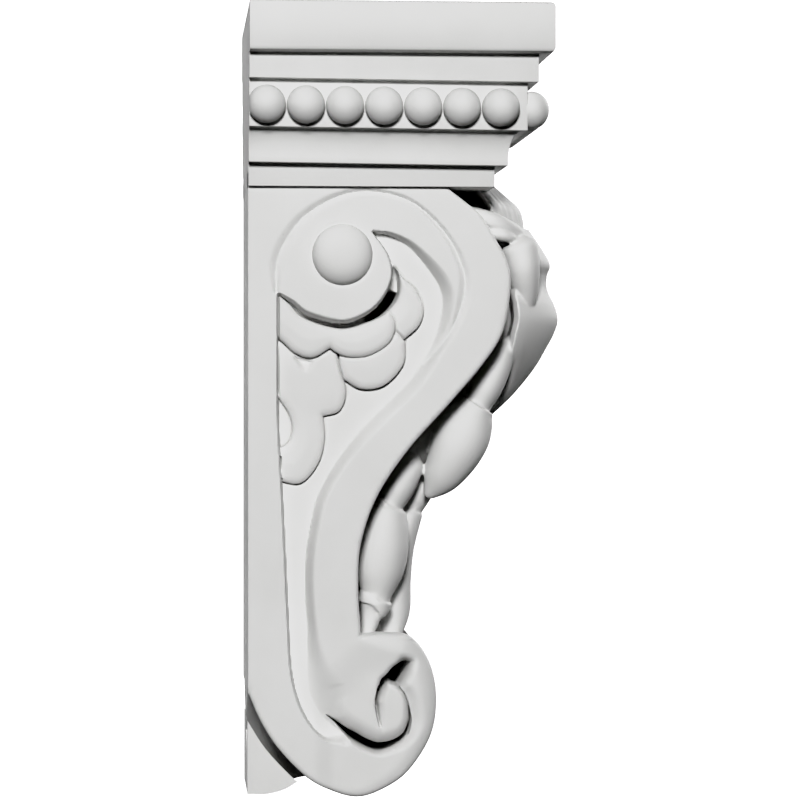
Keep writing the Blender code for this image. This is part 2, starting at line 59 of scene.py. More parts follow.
# %% [markdown]
# ## Sizes
# Everything is drawn as on a carver's sheet: depth from the wall and height from the middle, in
# millimetres. The wall is the plane Y = 0 and the front looks along -Y, so a drawn point (depth, height) on
# the plane `across` becomes the scene point (across, -depth, height) in metres.

# %% Overall sizes, in millimetres
HEIGHT = 260
CAP_WIDTH = 108
CAP_DEPTH = 99
FACE = 34             # the carved sides, from the middle plane
PANEL = 12            # thickness of a carved side
FLOOR = 5             # how deep the sunk field lies
BACK_GAP = 0.04       # keeps the hidden backs of the pieces off one another
MM = 0.001


def place(depth, height, across):
    """A point of the drawing in the scene's metres."""
    return (across * MM, -depth * MM, height * MM)


# %% [markdown]
# ## Smooth lines
# A carver draws a few points and joins them with one sweep of the pencil. A Catmull-Rom spline does the
# same: it passes through every drawn point. A point that is given twice is left as a sharp corner.

# %% Smooth line through drawn points
def smooth_line(points, steps, closed=False):
    count = len(points)
    line = []
    for i in range(count if closed else count - 1):
        if closed:
            near = [points[(i + k) % count] for k in (-1, 0, 1, 2)]
        else:
            near = [points[min(max(i + k, 0), count - 1)] for k in (-1, 0, 1, 2)]
        if near[1] == near[2]:
            continue
        for step in range(steps):
            t = step / steps
            line.append(tuple(0.5 * (2 * b + (c - a) * t + (2 * a - 5 * b + 4 * c - d) * t ** 2
                                     + (3 * b - a - 3 * c + d) * t ** 3)
                              for a, b, c, d in zip(*near)))
    if not closed:
        line.append(tuple(float(value) for value in points[-1]))
    return line


# %% Even steps along a line, and a line beside it
def stepped(line, step, closed=False):
    """The same line with its points evenly apart."""
    line = np.asarray(line, float)
    if closed:
        line = np.vstack([line, line[:1]])
    length = np.concatenate([[0], np.cumsum(np.hypot(*np.diff(line[:, :2], axis=0).T))])
    even = np.linspace(0, length[-1], max(2, round(length[-1] / step)) + 1)
    return np.stack([np.interp(even[:-1] if closed else even, length, column) for column in line.T], -1)


def beside(line, distance, closed=False):
    """The line moved sideways, to the right of its direction for a plus."""
    line = np.asarray(line, float)[:, :2]
    along = np.roll(line, -1, axis=0) - np.roll(line, 1, axis=0) if closed else np.gradient(line, axis=0)
    out = np.stack([along[:, 1], -along[:, 0]], -1) / np.linalg.norm(along, axis=1)[:, None]
    return line + out * np.reshape(distance, (-1, 1))


# %% Turn points and faces into an object
CREASE = math.radians(38)
BACK_FACING = 0.999   # how straight back the normal of a back face points


def make_object(name, points, faces, crease=CREASE):
    mesh = bpy.data.meshes.new(name)
    mesh.from_pydata([tuple(point) for point in points], [], faces)
    shape = bmesh.new()
    shape.from_mesh(mesh)
    bmesh.ops.remove_doubles(shape, verts=shape.verts, dist=1e-7)
    bmesh.ops.recalc_face_normals(shape, faces=shape.faces)
    if shape.calc_volume(signed=True) < 0:
        bmesh.ops.reverse_faces(shape, faces=shape.faces)
    shape.to_mesh(mesh)
    shape.free()
    mesh.shade_smooth()
    if crease:
        mesh.set_sharp_from_angle(angle=crease)
    made = bpy.data.objects.new(name, mesh)
    bpy.context.scene.collection.objects.link(made)
    return made


def loft_faces(rows, start=0):
    """Faces of a closed body through equally long rows of points, with flat ends."""
    count = len(rows[0])
    faces = [tuple(start + i for i in range(count)),
             tuple(start + (len(rows) - 1) * count + i for i in reversed(range(count)))]
    for row in range(len(rows) - 1):
        for i in range(count):
            k = (i + 1) % count
            a, b = start + row * count, start + (row + 1) * count
            faces.append((a + i, b + i, b + k, a + k))
    return faces


# %% [markdown]
# ## The cap
# The mouldings run round three sides and meet in mitred corners: a slab, a plain frieze, the band that
# carries the beads, a cove and a fascia. One profile swept round a rectangle gives them all, so the cap is
# a loft of mitred rectangles, one for each line of the profile. In the mould every edge rounded off a
# little, which the Bevel modifier adds. The front hangs a little lower than the back, as on the real
# casting.

# %% Cap profile and loft
SLAB_HEIGHT, SLAB_ROUND = 16.4, 1.4
FRIEZE_INSET, FRIEZE_HEIGHT = 4.9, 8.3
BAND_INSET, BAND_HEIGHT = 8.2, 15.5
COVE_INSET, COVE_HEIGHT, COVE_LIP = 14.0, 9.3, 1.8
FASCIA_INSET, FASCIA_HEIGHT = 18.0, 7.6
FRONT_DROP = 0.9
COVE_STEPS = 10
EDGE_ROUND = 0.8


def cap_rows():
    """Lines of the cap's profile from the top: inset from the slab, drop below the top, droop in front."""
    rows = [(SLAB_ROUND, 0, 0), (SLAB_ROUND * 0.3, SLAB_ROUND * 0.3, 0), (0, SLAB_ROUND, 0),
            (0, SLAB_HEIGHT - SLAB_ROUND, 0), (SLAB_ROUND * 0.3, SLAB_HEIGHT - SLAB_ROUND * 0.3, 0),
            (SLAB_ROUND, SLAB_HEIGHT, 0), (FRIEZE_INSET, SLAB_HEIGHT, 0)]
    drop = SLAB_HEIGHT + FRIEZE_HEIGHT
    rows += [(FRIEZE_INSET, drop, FRONT_DROP), (BAND_INSET, drop, FRONT_DROP)]
    drop += BAND_HEIGHT
    for step in range(COVE_STEPS + 1):
        turn = 0.5 * math.pi * step / COVE_STEPS
        rows.append((COVE_INSET - (COVE_INSET - BAND_INSET - COVE_LIP) * (1 - math.sin(turn)),
                     drop + COVE_HEIGHT * (1 - math.cos(turn)), FRONT_DROP))
    rows.insert(len(rows) - COVE_STEPS - 1, (BAND_INSET, drop, FRONT_DROP))
    drop += COVE_HEIGHT + COVE_LIP
    rows += [(COVE_INSET, drop, FRONT_DROP), (FASCIA_INSET, drop, FRONT_DROP),
             (FASCIA_INSET, drop + FASCIA_HEIGHT, 0)]
    return rows


def make_cap():
    points = []
    rows = cap_rows()
    for inset, drop, droop in rows:
        side, front, top = CAP_WIDTH / 2 - inset, CAP_DEPTH - inset, HEIGHT / 2 - drop
        points += [place(0, top, -side), place(0, top, side),
                   place(front, top - droop, side), place(front, top - droop, -side)]
    made = make_object("cap", points, loft_faces([[0] * 4] * len(rows)), crease=None)
    bevel = made.modifiers.new("soft_edges", "BEVEL")
    bevel.width = EDGE_ROUND * MM
    bevel.segments = 3
    bevel.limit_method = "ANGLE"
    bevel.angle_limit = math.radians(30)
    bevel.harden_normals = False
    return made


def finish_shading(made):
    """Marks the sharp edges, and keeps the back flat where it was cut off."""
    made.data.set_sharp_from_angle(angle=CREASE)
    for face in made.data.polygons:
        face.use_smooth = face.normal.y < BACK_FACING


def apply_modifiers(made):
    """The object with what its modifiers make as its own plain mesh."""
    result = bpy.data.meshes.new_from_object(made.evaluated_get(bpy.context.evaluated_depsgraph_get()))
    made.modifiers.clear()
    made.data = result
    return made


cap = apply_modifiers(make_cap())
finish_shading(cap)
print("cap triangles:", sum(len(face.vertices) - 2 for face in cap.data.polygons))

# %% [markdown]
# ## The bead row
# The beads are one shape repeated along a line, which is what Geometry Nodes are for. The tree lays a line
# of points, puts a squashed ball on each, makes the copies real and gives them the primer. Its start, step,
# count and radius are inputs, so the same tree runs along both sides and across the front.

# %% Node tree for a row of beads
BEAD_RADIUS = 6.2
BEAD_PITCH = 12.7
BEAD_LIFT = 2.0
BEAD_FIRST = 5.6
BEAD_DROP = 33.1      # from the top of the corbel


def bead_tree():
    tree = bpy.data.node_groups.new("bead_row", "GeometryNodeTree")
    face = tree.interface
    names = {}
    for name, kind in (("Geometry", "NodeSocketGeometry"), ("Start", "NodeSocketVector"),
                       ("Step", "NodeSocketVector"), ("Count", "NodeSocketInt"),
                       ("Radius", "NodeSocketVector"), ("Finish", "NodeSocketMaterial")):
        names[name] = face.new_socket(name, in_out="INPUT", socket_type=kind).identifier
    face.new_socket("Geometry", in_out="OUTPUT", socket_type="NodeSocketGeometry")
    inputs = tree.nodes.new("NodeGroupInput")
    result = tree.nodes.new("NodeGroupOutput")
    line = tree.nodes.new("GeometryNodeMeshLine")
    line.mode = "OFFSET"
    ball = tree.nodes.new("GeometryNodeMeshUVSphere")
    ball.inputs["Segments"].default_value = 32
    ball.inputs["Rings"].default_value = 20
    ball.inputs["Radius"].default_value = 1
    copies = tree.nodes.new("GeometryNodeInstanceOnPoints")
    real = tree.nodes.new("GeometryNodeRealizeInstances")
    smooth = tree.nodes.new("GeometryNodeSetShadeSmooth")
    finish = tree.nodes.new("GeometryNodeSetMaterial")
    link = tree.links.new
    link(inputs.outputs["Count"], line.inputs["Count"])
    link(inputs.outputs["Start"], line.inputs["Start Location"])
    link(inputs.outputs["Step"], line.inputs["Offset"])
    link(line.outputs["Mesh"], copies.inputs["Points"])
    link(ball.outputs["Mesh"], copies.inputs["Instance"])
    link(inputs.outputs["Radius"], copies.inputs["Scale"])
    link(copies.outputs["Instances"], real.inputs["Geometry"])
    link(real.outputs["Geometry"], smooth.inputs["Geometry"])
    link(smooth.outputs["Geometry"], finish.inputs["Geometry"])
    link(inputs.outputs["Finish"], finish.inputs["Material"])
    link(finish.outputs["Geometry"], result.inputs["Geometry"])
    return tree, names


# %% [markdown]
# ## White primer
# The finish is a sprayed matt primer on foam: almost white, with a fine orange-peel skin and faint cloudy
# differences where the coat is thinner. Two noises on the object's own coordinates drive the bump, and a
# slow one shifts the colour and the roughness by a few per cent.

# %% Primer material
def primer_material():
    material = bpy.data.materials.new("white_primer")
    material.use_nodes = True
    nodes, link = material.node_tree.nodes, material.node_tree.links.new
    shader = nodes["Principled BSDF"]
    shader.inputs["Metallic"].default_value = 0
    shader.inputs["Specular IOR Level"].default_value = 0.25
    where = nodes.new("ShaderNodeTexCoord")

    def noise(scale, detail, roughness):
        made = nodes.new("ShaderNodeTexNoise")
        made.inputs["Scale"].default_value = scale
        made.inputs["Detail"].default_value = detail
        made.inputs["Roughness"].default_value = roughness
        link(where.outputs["Object"], made.inputs["Vector"])
        return made

    def spread(source, low, high):
        made = nodes.new("ShaderNodeMapRange")
        made.inputs["From Min"].default_value = 0.3
        made.inputs["From Max"].default_value = 0.7
        made.inputs["To Min"].default_value = low
        made.inputs["To Max"].default_value = high
        link(source, made.inputs["Value"])
        return made.outputs["Result"]

    cloud = noise(38, 3, 0.5)
    peel = noise(900, 2, 0.6)
    grain = noise(2600, 2, 0.5)
    mix = nodes.new("ShaderNodeMix")
    mix.data_type = "RGBA"
    mix.inputs["A"].default_value = (0.770, 0.770, 0.762, 1)
    mix.inputs["B"].default_value = (0.815, 0.815, 0.808, 1)
    link(spread(cloud.outputs["Fac"], 0.0, 1.0), mix.inputs["Factor"])
    link(mix.outputs["Result"], shader.inputs["Base Color"])
    link(spread(cloud.outputs["Fac"], 0.56, 0.68), shader.inputs["Roughness"])
    add = nodes.new("ShaderNodeMath")
    add.operation = "MULTIPLY_ADD"
    add.inputs[1].default_value = 0.35
    link(grain.outputs["Fac"], add.inputs[0])
    link(peel.outputs["Fac"], add.inputs[2])
    bump = nodes.new("ShaderNodeBump")
    bump.inputs["Strength"].default_value = 0.35
    bump.inputs["Distance"].default_value = 0.00006
    link(add.outputs["Value"], bump.inputs["Height"])
    link(bump.outputs["Normal"], shader.inputs["Normal"])
    return material


primer = primer_material()

# %% Run the tree along the sides and the front
def bead_rows():
    middle = HEIGHT / 2 - BEAD_DROP
    side = CAP_WIDTH / 2 - BAND_INSET
    front = CAP_DEPTH - BAND_INSET
    fall = FRONT_DROP / CAP_DEPTH
    side_count = int((front - BEAD_FIRST - BEAD_RADIUS) / BEAD_PITCH) + 1
    gaps = max(2, 2 * round((side - BEAD_FIRST) / BEAD_PITCH))
    step = 2 * (side - BEAD_FIRST) / gaps
    squash = BEAD_RADIUS * MM
    rows = []
    for across in (-1, 1):
        start = Vector(place(BEAD_FIRST, middle - fall * BEAD_FIRST, across * (side + BEAD_LIFT)))
        rows.append((start, Vector(place(BEAD_PITCH, -fall * BEAD_PITCH, 0)), side_count, (0.92, 1, 1)))
    start = Vector(place(front + BEAD_LIFT, middle - FRONT_DROP, BEAD_FIRST - side))
    rows.append((start, Vector((step * MM, 0, 0)), gaps + 1, (1, 0.92, 1)))
    return [(start, step, count, [squash * share for share in shares]) for start, step, count, shares in rows]


tree, sockets = bead_tree()
parts = []
for number, (start, step, count, radius) in enumerate(bead_rows()):
    row = bpy.data.objects.new(f"beads_{number}", bpy.data.meshes.new(f"beads_{number}"))
    bpy.context.scene.collection.objects.link(row)
    nodes = row.modifiers.new("beads", "NODES")
    nodes.node_group = tree
    values = {"Start": start, "Step": step, "Count": count, "Radius": radius, "Finish": primer}
    for name, value in values.items():
        nodes[sockets[name]] = value
    parts.append(apply_modifiers(row))
    print("beads in row", number, ":", count)


def join(name, shapes):
    """One object from several, whose places are already in their meshes."""
    merged = bmesh.new()
    for shape in shapes:
        merged.from_mesh(shape.data)
    mesh = bpy.data.meshes.new(name)
    merged.to_mesh(mesh)
    merged.free()
    for shape in shapes:
        bpy.data.objects.remove(shape)
    made = bpy.data.objects.new(name, mesh)
    bpy.context.scene.collection.objects.link(made)
    return made


beads = join("bead_row", parts)
# the mould's back is cut off flat, and the first beads with it
for vertex in beads.data.vertices:
    vertex.co.y = min(vertex.co.y, -BACK_GAP * MM)

# %% [markdown]
# ## Drawing of the carved side
# The lines below are the carver's drawing of one side. The third number of a point says how wide the slope
# beside it is, or how wide the cut is. The scroll band runs from under the cap down the front and round the
# lower scroll, a sunk field lies inside it, and leaf lobes lie in the field.

# %% Lines of the side
# front edge of the scroll band, and round the lower scroll to the wall: width and drop of the sloping rim
BAND_FRONT = [(62, 76, 1.3, 0.1), (65.7, 71.1, 1.3, 0.1), (71.4, 66.5, 1.3, 0.1), (76.7, 62, 1.3, 0.1),
              (81.5, 54.4, 1.3, 0.1), (85.6, 46.5, 1.3, 0.1), (86.6, 37.9, 1.3, 0.1), (84, 23.4, 1.3, 0.1),
              (77, 12.2, 1.3, 0.1), (65.7, -1, 1.3, 0.1), (52.5, -15.8, 1.3, 0.1), (42.3, -31.3, 1.3, 0.1),
              (37, -47, 1.3, 0.1), (36.2, -62, 1.3, 0.1), (36.9, -74, 1.3, 0.1), (36.9, -76.6, 1.3, 0.1)]
SCROLL_EDGE = [(36.9, -76.6, 2, 0.4), (46, -76.2, 6, 1.8), (54.2, -77.6, 7, 3), (60.2, -86, 7, 3.4),
               (62.4, -97.5, 7, 3.2), (60.4, -110, 6, 2.4), (52.6, -121.8, 5, 1.4), (43.5, -127.8, 4, 0.9),
               (35.5, -129.8, 3, 0.6), (26.8, -127.4, 2, 0.3), (18.6, -122.6, 1.6, 0.2),
               (10.1, -113.9, 1.4, 0.1), (4.6, -105.6, 1.3, 0.1), (1.2, -98.2, 1.3, 0.1),
               (0, -95.4, 1.3, 0.1)]
# floor of the sunk field, with the width of the slope that rises from it
FIELD_FLOOR = [(41.2, 56.2, 0.6), (41.2, 56.2, 0.6), (46.5, 55.4, 0.9), (52.6, 52.2, 1.7), (58.4, 45.8, 3.2),
               (63.2, 38.5, 4.2), (64.2, 31.5, 4.4), (61.4, 20.5, 4.6), (55, 9.4, 4.6), (48.1, 1.8, 4.4),
               (41.5, -4.7, 4.2), (35.3, -11.3, 4), (30.1, -18, 3.8), (25.9, -24.5, 3.6), (22.7, -31.3, 3.4),
               (20.9, -38.7, 3.3), (19.6, -46, 3.2), (19, -52, 3.2), (18.8, -59, 3.2), (19, -66, 3.3),
               (19.5, -73, 3.6),
               (19.6, -80, 5), (19.6, -86, 7.5), (19.9, -92, 10.5), (21, -97, 12.5), (24.6, -103.4, 11),
               (31.5, -109.4, 4), (31.5, -109.4, 4), (24.4, -109.6, 0.8), (18.2, -101.6, 0.8),
               (14.6, -89, 0.9), (13.4, -70, 0.9), (11.8, -36, 0.9), (10.2, -4, 0.9), (10.2, 20, 0.9),
               (10.2, 35.4, 0.9), (10.2, 35.4, 0.9), (14.4, 33, 1), (19.6, 29, 1.2), (30.4, 26.2, 1.3),
               (38.2, 28.4, 1.3), (44, 33.2, 1.2), (47.6, 40.8, 1), (46.4, 48.8, 0.8)]
# lower edge of the upper scroll's disc, with the width of the dark gap under it and its depth below the floor
DISC_EDGE = [(9, 36.6, 0.2, 0), (14.4, 33.2, 1.1, 2), (19.6, 29.3, 1.8, 4), (30.4, 26.5, 2.1, 6),
             (38.2, 28.7, 2.5, 6.8),
             (42.6, 31.6, 3.3, 6.9), (46, 36.4, 3.9, 6.9), (47.8, 41.6, 2.2, 5), (47.8, 45.4, 0.5, 0)]
# groove between the scroll band and the disc, with its half width
SCROLL_QUIRK = [(9.2, 36.6, 1.2), (9.3, 45.6, 2.6), (12.4, 53.4, 2.8), (18.4, 61.2, 2.4), (28.1, 67.3, 1.8),
                (38.3, 69.6, 1.3), (49.9, 67.8, 1.2), (58.2, 63, 1.2), (65.6, 54.8, 1.5), (69.9, 46.6, 2),
                (71.5, 39, 2.4), (69.6, 30, 2.4), (65.2, 21, 2), (58.5, 13, 1)]
QUIRK_DEPTH = 1.3
EYE_CENTRE, EYE_RADIUS, EYE_RISE = (30.9, 48.9), 9.9, 5.0
# leaf lobes in the field, and how far the middle of each stands above the floor
FIELD_LOBES = (
    (2.2, [(6, 23), (6, 23), (16, 19), (27, 20), (31.5, 8.5), (32.3, 2.4), (30, -2.8), (24.8, -4.4),
           (24.8, -4.4), (25.3, -12), (23.2, -20), (17.6, -26.4), (10.8, -25.8), (6, -24), (6, -24),
           (6, -15.4), (11.8, -14.4), (14.5, -10.2), (13.4, -3.4), (6, 9)]),
    (2.6, [(42, 40), (46.6, 46), (51.7, 40.7), (55.6, 37.2), (58, 31), (56.4, 25.4), (51.7, 21.1),
           (51.7, 21.1), (44, 20), (40, 30)]),
    (3.0, [(30, 14), (31.6, 7.8), (31.6, 7.8), (37.4, 4.6), (45, 5.8), (51.2, 12.6), (51.9, 20.4),
           (51.9, 20.4), (44, 26), (32, 22)]),
    (4.6, [(5, 34), (5, 23), (10.2, 21), (15.4, 16.4), (21.3, 14.9), (26.9, 18), (26.9, 18),
           (32, 15.3), (39.6, 15.6), (46.6, 20), (48.5, 26.2), (45.6, 31.6), (44, 38), (20, 38)]),
)
LOBE_ROUND, LOBE_DROP, LOBE_CROWN = 2.6, 1.5, 0.5
LOBE_CUT, LOBE_CUT_WIDTH = 1.3, 1.0
# small eye between two lobes
EYELET = [(14.8, 15.6), (21.4, 14.6), (21.4, 12), (19, 9.2), (16.4, 11.8)]
EYELET_TOP = [(14.6, 16), (18, 15), (22, 15)]
EYELET_DEPTH, EYELET_LENGTH, EYELET_EDGE = 3.2, 5.0, 2.2
# lower scroll: crevice round the curl, its half width, and its slopes on the curl's and the band's side
CURL_CREVICE = [(50.2, -93.9, 0.12, 1.4, 3), (51.7, -95.8, 0.14, 1.6, 4), (52.8, -98.6, 0.18, 2, 5),
                (53.4, -101.6, 0.3, 2.6, 5.5), (53.6, -105.2, 0.5, 3.2, 5), (52, -109.7, 0.9, 4, 3),
                (48.3, -112.6, 1.3, 4.6, 1.6), (43.3, -114, 1.8, 5, 0.9), (38.8, -112.6, 1.7, 5.4, 0.8),
                (35, -110.3, 1.6, 5.6, 0.8), (31.8, -107.9, 1, 5.8, 0.8), (28.9, -105.3, 0.5, 6, 0.8),
                (26, -103.1, 0.2, 6, 0.8)]
CURL_SIDE_DROP, BAND_SIDE_DROP = 4.8, 2.0
CURL_LINE = [(43.5, -106.4, 0.05), (42.9, -103.5, 0.15), (42.5, -100.2, 0.3), (42.5, -97.8, 0.5),
             (43.5, -94, 0.9)]
TONGUE_SLOPE, TONGUE_DROP = 3.2, 2.6      # bevel of the curl's tongue beside that line
LINE_SLOPE, LINE_DROP = 1.8, 0.8          # and on the line's other side
CURL_HOLE = [(43.3, -93.4), (43.9, -91.2), (45.8, -89.4), (47.4, -87.4), (49.5, -86), (51.6, -85.1),
             (53.6, -85.6), (53.6, -85.6), (52.6, -88.4), (51.2, -91.2), (49.9, -93.5), (48.4, -93.3),
             (46.4, -92.5), (44.8, -94.2), (43.7, -96), (43.7, -96)]
HOLE_SLOPE, HOLE_DROP = 3.2, 2
HOLE_SIDE, HOLE_SIDE_EASE = 48, 3          # right of this depth the hole's rim slopes, after an easing
HOLE_FOOT, HOLE_FOOT_EASE = -96.5, 5       # and above this height
HOLE_LIP, HOLE_LIP_WIDTH = 1.2, 1.6        # soft lip all round the hole
SCROLL_RIDGE = [(18, -94), (24.2, -87.7), (31.8, -79.6), (38.3, -77), (48, -76.4)]
RIDGE_FALL, RIDGE_WIDTH = 1.4, 14         # the scroll leans back below that ridge
RIDGE_START, RIDGE_EASE = 21, 8           # but not on the lower band, which lies nearer to the wall
CURL_DEPTH = 11.8
WALL = 0.5            # width of the steep wall of a cut

# %% [markdown]
# ## Distances
# The whole relief is made from one measurement: how far is this point of the side from that drawn line?
# NumPy answers it for tens of thousands of points at once, one piece of the line at a time.

# %% Distance to a line, and inside or outside
def nearest(points, line, closed=False):
    """Distance of every point to a line, the line's own extra values there, and on which side it lies."""
    line = np.asarray(line, float)
    ends = np.roll(line, -1, axis=0) if closed else line[1:]
    starts = line if closed else line[:-1]
    best = np.full(len(points), np.inf)
    value = np.zeros((len(points), line.shape[1] - 2))
    side = np.ones(len(points))
    for a, b in zip(starts, ends):
        along = b[:2] - a[:2]
        length = along @ along
        if length == 0:
            continue
        gap = points - a[:2]
        t = np.clip(gap @ along / length, 0, 1)
        distance = np.hypot(gap[:, 0] - t * along[0], gap[:, 1] - t * along[1])
        closer = distance < best
        best[closer] = distance[closer]
        value[closer] = a[2:] + t[closer, None] * (b[2:] - a[2:])
        side[closer] = np.sign(along[0] * gap[closer, 1] - along[1] * gap[closer, 0])
    return best, value, side


def inside(points, line):
    """Which points lie inside a closed line."""
    line = np.asarray(line, float)[:, :2]
    found = np.zeros(len(points), bool)
    for a, b in zip(line, np.roll(line, -1, axis=0)):
        if a[1] == b[1]:
            continue
        crosses = (a[1] > points[:, 1]) != (b[1] > points[:, 1])
        found ^= crosses & (points[:, 0] < a[0] + (points[:, 1] - a[1]) * (b[0] - a[0]) / (b[1] - a[1]))
    return found


def rounded(distance, width):
    """A quarter round: 0 at the edge, 1 from the width inwards."""
    t = np.clip(distance / width, 0, 1)
    return np.sqrt(1 - (1 - t) ** 2)


def fading(distance, width, power=2):
    """1 at the line, 0 from the width outwards, with a soft end."""
    return (1 - np.clip(distance / width, 0, 1)) ** power


def eased(t):
    t = np.clip(t, 0, 1)
    return t * t * (3 - 2 * t)


# %% [markdown]
# ## The relief
# The carving is a height map: for every point of the side, how far its surface lies out from the plain
# face. Each feature either lowers the face (field, groove, crevices) or lays a lobe with a rounded rim on
# the floor. The order is the carver's: first the ground, then what lies on it, then the cuts, and last the
# outer edge.

# %% Height of the field and its lobes
STEPS = 8
front_line = smooth_line(BAND_FRONT, STEPS) + smooth_line(SCROLL_EDGE, STEPS)[1:]


def field_and_lobes(points):
    floor_line = smooth_line(FIELD_FLOOR, STEPS, closed=True)
    distance, value, _ = nearest(points, floor_line, closed=True)
    in_field = inside(points, floor_line)
    slope = np.maximum(value[:, 0], 0.6)
    climb = np.sin(0.5 * math.pi * np.clip(distance / slope, 0, 1))
    height = np.where(in_field, -FLOOR, -FLOOR * (1 - climb))
    gap_distance, gap, _ = nearest(points, smooth_line(DISC_EDGE, STEPS))
    gap_width, gap_depth = np.maximum(gap, 0).T
    clear_of_disc = gap_distance - gap_width
    for rise, outline in FIELD_LOBES:
        line = smooth_line(outline, STEPS, closed=True)
        reach = nearest(points, line, closed=True)[0]
        on_lobe = inside(points, line) & in_field & (clear_of_disc > 0)
        rim = np.minimum(reach, clear_of_disc)
        lobe = rise - FLOOR - LOBE_DROP * (1 - rounded(rim, LOBE_ROUND)) + LOBE_CROWN * eased(rim / 8)
        ground = height - np.where(in_field, LOBE_CUT * fading(reach, LOBE_CUT_WIDTH), 0)
        height = np.where(on_lobe, np.maximum(height, lobe), ground)
    in_gap = in_field & (clear_of_disc <= 0)
    height = np.where(in_gap, -FLOOR - gap_depth * eased(-clear_of_disc / WALL), height)
    eyelet = smooth_line(EYELET, STEPS, closed=True)
    below = nearest(points, smooth_line(EYELET_TOP, STEPS))[0]
    soft_edge = eased(nearest(points, eyelet, closed=True)[0] / EYELET_EDGE)
    depth = EYELET_DEPTH * fading(below, EYELET_LENGTH, 1) * soft_edge
    return height - np.where(inside(points, eyelet), depth, 0)


# %% Groove and eye of the upper scroll
def groove_and_eye(points, height):
    distance, value, _ = nearest(points, smooth_line(SCROLL_QUIRK, STEPS))
    width = value[:, 0]
    height = height - QUIRK_DEPTH * np.minimum(width / 1.2, 1) * fading(distance, width, 1.5)
    spread = np.hypot(points[:, 0] - EYE_CENTRE[0], points[:, 1] - EYE_CENTRE[1]) / EYE_RADIUS
    dome = EYE_RISE * np.sqrt(np.clip(1 - np.clip(spread, 0, 1) ** 2.6, 0, 1))
    foot = 0.35 * np.exp(-((spread - 1.02) / 0.05) ** 2)
    return height + np.where(spread < 1, dome, 0) - np.where(spread >= 1, foot, 0)


# %% Lower scroll: rim, curl, crevices and hole
def lower_scroll(points, height):
    distance, value, side = nearest(points, smooth_line(CURL_CREVICE, STEPS))
    half, curl_slope, band_slope = value.T
    beyond = np.maximum(distance - half, 0)
    curl_side = CURL_SIDE_DROP * (1 - rounded(beyond, curl_slope))
    band_side = np.where(band_slope > 1.5, BAND_SIDE_DROP, 1.0) * fading(beyond, band_slope)
    height = np.minimum(height, -np.where(side > 0, band_side, curl_side))
    height = np.minimum(height, np.where(distance < half, -CURL_DEPTH * eased((half - distance) / WALL), 0))
    line, width, side = nearest(points, smooth_line(CURL_LINE, STEPS))
    strength = np.clip(width[:, 0] / 0.3, 0, 1)
    tongue, other = TONGUE_DROP * fading(line, TONGUE_SLOPE), LINE_DROP * fading(line, LINE_SLOPE)
    beside_line = np.where(side < 0, tongue, other)
    cut = 0.6 * CURL_DEPTH * fading(np.maximum(line - 0.5 * width[:, 0], 0), 0.5, 1)
    height = height - strength * (beside_line + cut)
    ridge, _, side = nearest(points, smooth_line(SCROLL_RIDGE, STEPS))
    below = eased(ridge / RIDGE_WIDTH) * eased((points[:, 0] - RIDGE_START) / RIDGE_EASE)
    below = np.where(side < 0, below, 0)
    height = height - RIDGE_FALL * below
    hole_line = smooth_line(CURL_HOLE, STEPS, closed=True)
    hole = nearest(points, hole_line, closed=True)[0]
    in_hole = inside(points, hole_line)
    right = eased((points[:, 0] - HOLE_SIDE) / HOLE_SIDE_EASE)
    right *= eased((points[:, 1] - HOLE_FOOT) / HOLE_FOOT_EASE)
    rim = HOLE_DROP * right * fading(hole, HOLE_SLOPE) + HOLE_LIP * fading(hole, HOLE_LIP_WIDTH)
    return np.where(in_hole, np.minimum(height, -CURL_DEPTH * eased(0.45 + hole / 0.8)), height - rim)


SCROLL_TOP = -78                     # the lower scroll's carving lies below this height
EDGE_WIDTH, EDGE_DROP = 1.3, 1.1     # rounding of the front edge


def relief(points):
    """Height of the carved side over its plain face, in millimetres, for points of the drawing."""
    height = groove_and_eye(points, field_and_lobes(points))
    scroll = points[:, 1] < SCROLL_TOP
    height[scroll] = lower_scroll(points[scroll], height[scroll])
    distance, value, _ = nearest(points, front_line)
    slope, drop = value.T
    return height - drop * fading(distance, slope, 1.8) - EDGE_DROP * (1 - rounded(distance, EDGE_WIDTH))


# %% [markdown]
# ## The carved sides as a mesh
# A grid of points fine enough for the crevices would be wasted on the flat areas, so the points are thinned
# where the relief hardly changes. Beside every sharp line, and beside the rounded front edge, rows of
# points follow the line, so that no edge gets ragged. A Delaunay triangulation joins them all inside the
# outline, and each point is then moved out by its height. Where the carving is very deep the plate goes on
# as a closed cup, which lines a pit in the core.

# %% Sample the side and build one panel
GRID, COARSE = 0.4, 5                      # finest spacing, and how many of them between points on the flat
EDGE_ROWS = (0.14, 0.4, 0.8, 1.3)          # distances of the rows beside the front edge
SHARP_ROWS = (-0.3, -0.06, 0.06, 0.3)      # and of the rows beside a sharp line
ROW_STEP, ROW_CLEAR = 0.35, 0.18           # spacing along a row, and the clearance that other points keep
EDGE_CLEAR = 0.3
BUSY_CHANGE, STEEP_CHANGE = 0.04, 0.16     # change of height near a point that calls for more points
BACK_STEPS = 60
PANEL_CREASE = math.radians(55)
PIT_START = -11.6     # where the carving is deeper than this, it goes on as a pit into the core
PIT_END = 3           # distance of a pit's end from the middle plane
PIT_SKIN = 0.5        # thickness of the cup's end


def panel_outline():
    line = [point[:2] for point in front_line]
    rise = (line[0][1] - line[-1][1]) / BACK_STEPS
    back = [(0, line[-1][1] + rise * k) for k in range(1, BACK_STEPS + 1)]
    return line + back


